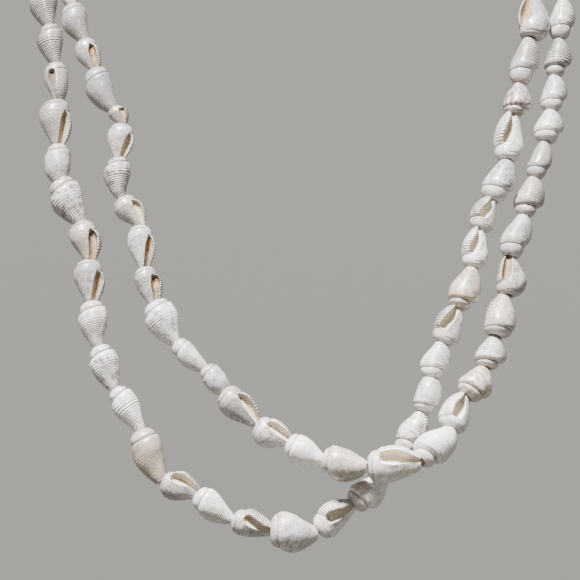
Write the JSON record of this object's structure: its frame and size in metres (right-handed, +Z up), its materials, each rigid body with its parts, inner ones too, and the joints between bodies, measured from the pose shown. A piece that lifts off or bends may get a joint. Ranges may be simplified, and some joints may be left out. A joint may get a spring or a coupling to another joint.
{
  "type": "shell necklace",
  "caption": "Doubled necklace of small dove shells, drilled lengthways and strung tip to apex on one endless thread, in the form it takes when worn.",
  "frame": {"origin": "middle of the wearer's neck, level with the shoulders that the turns lie over", "axes": "+X to the wearer's left, which is the viewer's right, +Y to the back of the neck, so that the front faces -Y, +Z up"},
  "size_m": [0.1613, 0.17, 0.2092],
  "materials": {
    "first_turn_shells": "bleached natural shell, ribbed, half matt",
    "second_turn_shells": "bleached natural shell, ribbed, half matt",
    "thread": "off-white waxed cotton"
  },
  "bodies": {
    "root": {"first_turn_shells": "first_turn_shells", "second_turn_shells": "second_turn_shells", "thread": "thread"}
  },
  "joints": []
}
